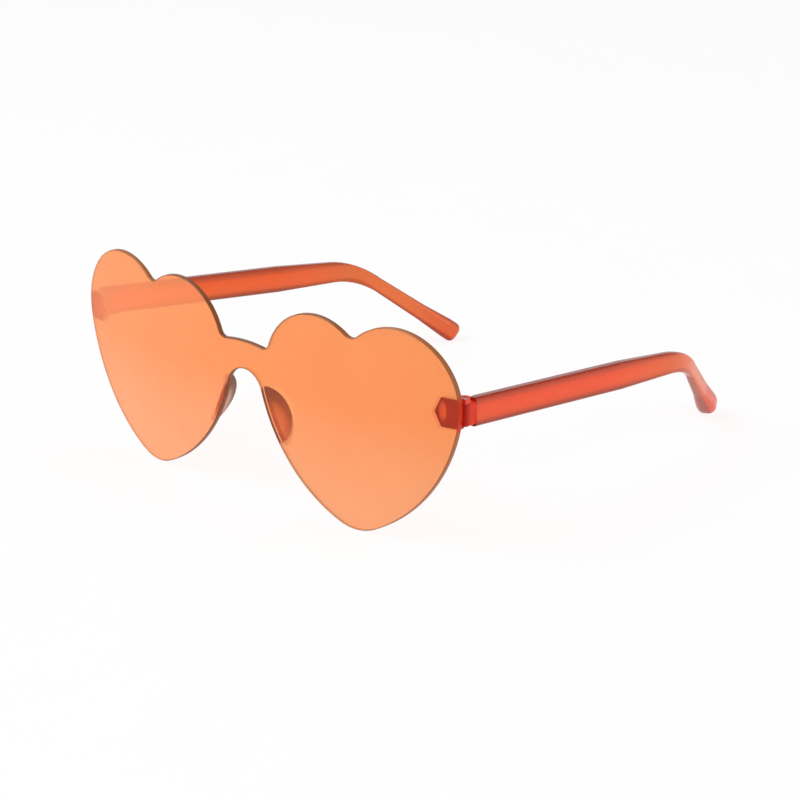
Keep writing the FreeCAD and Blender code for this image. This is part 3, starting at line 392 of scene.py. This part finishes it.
# Zero on the inner side of the arm, and one on the rest of it or less where that is paler. This is painted
# light, which leaves the inner side paler to make up for the shade it gets.
def side_shade_share(tree, axes, facing):
    outward = math_node(tree, "MULTIPLY", math_node(tree, "SIGN", axes["X"]), facing["X"])
    outer = spread(tree, outward, OUTER_FACING, RISING)
    along = spread(tree, axes["Y"], PALER_SPAN, RISING)
    paler = math_node(tree, "MULTIPLY", along, spread(tree, axes["Y"], PALER_END_SPAN, PALER_SHARE))
    return math_node(tree, "MULTIPLY", outer, math_node(tree, "SUBTRACT", 1.0, paler))


def temple_plastic():
    material, tree = new_material("temple_plastic")
    coords, axes, facing = surface_places(tree)
    level = arm_level(tree, axes)
    behind = spread(tree, axes["Y"], BEND_SPAN, RISING)
    # Orange with painted shade towards the arm's lower and top edges
    colour = blend_colours(tree, "MIX", behind, ramp(tree, level, BLADE_TINT_AND_SHADE), ramp(tree, level, TIP_TINT_AND_SHADE))
    # Painted light that keeps the inner side paler than the outer side
    colour = tint_by(tree, colour, side_shade_share(tree, axes, facing), OUTER_SIDE_SHADE)
    colour = tint_by(tree, colour, spread(tree, axes["Y"], END_SPAN, RISING), END_TINT)
    colour = clouded(tree, colour, coords, TEMPLE_GRAIN, TEMPLE_CLOUDING)
    # Painted shade on the arm's top and bottom faces
    edge = spread(tree, math_node(tree, "ABSOLUTE", facing["X"]), EDGE_FACING, FALLING)
    colour = tint_by(tree, colour, edge, ARM_EDGE_SHADE)
    clarity = spread(tree, axes["Y"], TEMPLE_CLEAR_SPAN, TEMPLE_CLARITY)
    scuffs = scuffed(tree, coords, **TEMPLE_SCUFFS)
    roughness = math_node(tree, "ADD", scuffs, spread(tree, axes["Y"], DULL_SPAN, DULL_ROUGHNESS))
    tinted_plastic(tree, coords, colour, clarity, roughness, **TEMPLE_BODY)
    return material


# Endpiece, a deep red foot with painted shade along its outline, a pale painted highlight in front and a
# brighter block behind

FOOT_HEIGHT = (0.0349, 0.0431)
FOOT_TINT = (
    (0.0, (0.40, 0.015, 0.004)),
    (0.5, (0.48, 0.015, 0.003)),
    (1.0, (0.40, 0.015, 0.004)),
)
FOOT_OUTLINE = {"point": 0.0652, "middle": 0.0390, "half_height": 0.0041}
# Painted dark shade along the outline of the foot
FOOT_EDGE_INSET = (0.0004, 0.0011)
FOOT_BORDER_SHADE = (0.40, 0.05, 0.012)
# Painted pale highlight on the front of the foot, just inside its point
HIGHLIGHT_SPOT = {"centre": (0.0677, 0.0393), "radii": (0.0012, 0.0029), "full_at": 0.2, "gone_at": 1.3}
HIGHLIGHT_FACING = (-0.9, -0.5)
FOOT_HIGHLIGHT = (1.0, 0.75, 0.70)
BLOCK_SPAN = (-0.0622, -0.0606)
BLOCK_TINT = (0.92, 0.05, 0.012)
ENDPIECE_GRAIN = (1.0, 1.0, 0.2)
ENDPIECE_CLOUDING = 1.0
ENDPIECE_CLARITY = 0.4
ENDPIECE_SCUFFS = {"scale": 220.0, "detail": 4.0, "roughness": (0.06, 0.14)}
ENDPIECE_BODY = {
    "ripple_height": 0.0001,
    "gloss_tint": (1.0, 0.35, 0.25),
    "shadow_tint": (0.80, 0.34, 0.26),
    "depth_tint": (0.97, 0.55, 0.35),
    "depth_density": 160.0,
}


def endpiece_plastic():
    material, tree = new_material("endpiece_plastic")
    coords, axes, facing = surface_places(tree)
    across = math_node(tree, "ABSOLUTE", axes["X"])
    colour = ramp(tree, spread(tree, axes["Z"], FOOT_HEIGHT, RISING), FOOT_TINT)
    inset = foot_inset(tree, across, axes["Z"], **FOOT_OUTLINE)
    # Painted dark shade along the foot's outline
    edge = spread(tree, inset, FOOT_EDGE_INSET, FALLING)
    colour = blend_colours(tree, "MIX", edge, colour, FOOT_BORDER_SHADE)
    # Painted pale highlight on the front faces near the foot's point
    in_front = spread(tree, facing["Y"], HIGHLIGHT_FACING, FALLING)
    highlight = math_node(tree, "MULTIPLY", oval(tree, across, axes["Z"], **HIGHLIGHT_SPOT), in_front)
    colour = blend_colours(tree, "MIX", highlight, colour, FOOT_HIGHLIGHT)
    block = spread(tree, axes["Y"], BLOCK_SPAN, RISING)
    colour = blend_colours(tree, "MIX", block, colour, BLOCK_TINT)
    colour = clouded(tree, colour, coords, ENDPIECE_GRAIN, ENDPIECE_CLOUDING)
    scuffs = scuffed(tree, coords, **ENDPIECE_SCUFFS)
    tinted_plastic(tree, coords, colour, ENDPIECE_CLARITY, scuffs, **ENDPIECE_BODY)
    return material


# Nose pad, pale and clear in its middle and brown towards its edge

PAD_MIDDLE_Z = 0.0255
PAD_MIDDLE_Y = -0.0700
PAD_RADIUS_Z = 0.0078
PAD_RADIUS_Y = 0.0052
PAD_TOP_SHADE = 0.3
PAD_TINT = (
    (0.0, (0.70, 0.46, 0.36)),
    (0.3, (0.56, 0.26, 0.12)),
    (0.55, (0.21, 0.05, 0.004)),
    (1.0, (0.12, 0.022, 0.002)),
)
PAD_GRAIN = (1.0, 1.0, 0.3)
PAD_CLOUDING = 1.0
PAD_CLEAR_SPAN = (0.3, 0.7)
PAD_CLARITY = (0.6, 0.25)
PAD_SCUFFS = {"scale": 260.0, "detail": 4.0, "roughness": (0.12, 0.26)}
PAD_BODY = {
    "ripple_height": 0.0001,
    "gloss_tint": (1.0, 0.3, 0.12),
    "shadow_tint": (0.84, 0.52, 0.40),
    "depth_tint": (0.97, 0.70, 0.30),
    "depth_density": 200.0,
}


def pad_plastic():
    material, tree = new_material("nose_pad_plastic")
    coords, axes, _ = surface_places(tree)
    up = math_node(tree, "DIVIDE", math_node(tree, "SUBTRACT", axes["Z"], PAD_MIDDLE_Z), PAD_RADIUS_Z)
    back = math_node(tree, "DIVIDE", math_node(tree, "SUBTRACT", axes["Y"], PAD_MIDDLE_Y), PAD_RADIUS_Y)
    from_middle = math_node(tree, "MULTIPLY_ADD", up, up, math_node(tree, "MULTIPLY", back, back))
    colour = ramp(tree, math_node(tree, "MULTIPLY_ADD", up, PAD_TOP_SHADE, from_middle), PAD_TINT)
    colour = clouded(tree, colour, coords, PAD_GRAIN, PAD_CLOUDING)
    clarity = spread(tree, from_middle, PAD_CLEAR_SPAN, PAD_CLARITY)
    scuffs = scuffed(tree, coords, **PAD_SCUFFS)
    tinted_plastic(tree, coords, colour, clarity, scuffs, **PAD_BODY)
    return material


# Turned and brushed steel

BRUSH_SCALE = 900.0
BRUSH_DETAIL = 4.0
BRUSH_GRAIN = (1.0, 1.0, 12.0)
BRUSH_TINT = ((0.3, (0.52, 0.51, 0.50)), (0.7, (0.72, 0.71, 0.70)))
BRUSH_SPAN = (0.3, 0.7)
BRUSH_ROUGHNESS = (0.22, 0.4)
BRUSH_BUMP = 0.15
BRUSH_DEPTH = 0.00003
STAIN_SCALE = 700.0
STAIN_DETAIL = 3.0
STAIN_TINT = ((0.3, (0.82, 0.80, 0.78)), (0.6, WHITE))


def screw_steel():
    material, tree = new_material("screw_steel")
    coords = tree.nodes.new("ShaderNodeTexCoord").outputs["Object"]
    brushed = noise(tree, coords, BRUSH_SCALE, BRUSH_DETAIL, BRUSH_GRAIN)
    stain = noise(tree, coords, STAIN_SCALE, STAIN_DETAIL)
    colour = ramp(tree, brushed, BRUSH_TINT)
    colour = blend_colours(tree, "MULTIPLY", 1.0, colour, ramp(tree, stain, STAIN_TINT))
    steel = tree.nodes.new("ShaderNodeBsdfPrincipled")
    feed(tree, steel.inputs["Metallic"], 1.0)
    feed(tree, steel.inputs["Base Color"], colour)
    feed(tree, steel.inputs["Roughness"], spread(tree, brushed, BRUSH_SPAN, BRUSH_ROUGHNESS))
    bump = tree.nodes.new("ShaderNodeBump")
    feed(tree, bump.inputs["Strength"], BRUSH_BUMP)
    feed(tree, bump.inputs["Distance"], BRUSH_DEPTH)
    feed(tree, bump.inputs["Height"], brushed)
    feed(tree, steel.inputs["Normal"], bump.outputs["Normal"])
    output = tree.nodes.new("ShaderNodeOutputMaterial")
    feed(tree, output.inputs["Surface"], steel.outputs["BSDF"])
    return material


def dress(node, material):
    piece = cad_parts[node]
    if not piece.material_slots:
        piece.data.materials.append(material)
    for material_slot in piece.material_slots:
        material_slot.material = material


# Floor, world and lamps

FLOOR_SIZE = 16.0
PAPER_SCALE = 30.0
PAPER_DETAIL = 3.0
PAPER_TINT = ((0.3, (0.93, 0.93, 0.93)), (0.7, (0.96, 0.96, 0.96)))
PAPER_GLOW = 0.86
SKY_HEIGHT = (0.0, 1.0)
SKY_TINT = ((0.0, (0.9, 0.9, 0.9)), (0.25, (0.55, 0.55, 0.55)), (1.0, (0.4, 0.4, 0.4)))
LAMP_AIM = Vector((0.0, 0.0, 0.02))


# One for rays that see the floor directly, in a reflection or through plastic
def seen_share(tree):
    rays = tree.nodes.new("ShaderNodeLightPath").outputs
    straight = math_node(tree, "MAXIMUM", rays["Is Camera Ray"], rays["Is Glossy Ray"])
    return math_node(tree, "MAXIMUM", straight, rays["Is Transmission Ray"])


def make_floor():
    bpy.ops.mesh.primitive_plane_add(size=FLOOR_SIZE, location=(0.0, 0.0, 0.0))
    floor = bpy.context.object
    floor.name = "floor"
    material, tree = new_material("floor_paper")
    coords = tree.nodes.new("ShaderNodeTexCoord").outputs["Object"]
    paper = noise(tree, coords, PAPER_SCALE, PAPER_DETAIL)
    matt = tree.nodes.new("ShaderNodeBsdfDiffuse")
    feed(tree, matt.inputs["Color"], ramp(tree, paper, PAPER_TINT))
    glow = tree.nodes.new("ShaderNodeEmission")
    feed(tree, glow.inputs["Strength"], 1.0)
    mix = tree.nodes.new("ShaderNodeMixShader")
    feed(tree, mix.inputs["Fac"], math_node(tree, "MULTIPLY", seen_share(tree), PAPER_GLOW))
    feed(tree, mix.inputs[1], matt.outputs["BSDF"])
    feed(tree, mix.inputs[2], glow.outputs["Emission"])
    output = tree.nodes.new("ShaderNodeOutputMaterial")
    feed(tree, output.inputs["Surface"], mix.outputs["Shader"])
    floor.data.materials.append(material)


def make_world():
    world = bpy.data.worlds.new("studio")
    scene.world = world
    world.use_nodes = True
    tree = world.node_tree
    tree.nodes.clear()
    axes = tree.nodes.new("ShaderNodeSeparateXYZ")
    feed(tree, axes.inputs["Vector"], tree.nodes.new("ShaderNodeTexCoord").outputs["Generated"])
    height = spread(tree, axes.outputs["Z"], SKY_HEIGHT, RISING)
    sky = tree.nodes.new("ShaderNodeBackground")
    feed(tree, sky.inputs["Color"], ramp(tree, height, SKY_TINT))
    output = tree.nodes.new("ShaderNodeOutputWorld")
    feed(tree, output.inputs["Surface"], sky.outputs["Background"])


def add_lamp(name, place, side, power):
    data = bpy.data.lights.new(name, "AREA")
    data.shape = "SQUARE"
    data.size = side
    data.energy = power
    lamp = bpy.data.objects.new(name, data)
    scene.collection.objects.link(lamp)
    lamp.location = place
    toward = LAMP_AIM - Vector(place)
    lamp.rotation_euler = toward.to_track_quat("-Z", "Y").to_euler()


place_camera()
make_floor()
make_world()
add_lamp("key_lamp", place=(-0.55, -0.75, 1.15), side=0.9, power=13.0)
add_lamp("side_lamp", place=(1.15, 0.35, 0.75), side=0.8, power=5.0)

dress("lens_shield", lens_plastic())
finishes = {
    "temple": temple_plastic(),
    "endpiece": endpiece_plastic(),
    "nose_pad": pad_plastic(),
    "hinge_screw": screw_steel(),
}
for side in ("left", "right"):
    for part, finish in finishes.items():
        dress(side + "_" + part, finish)
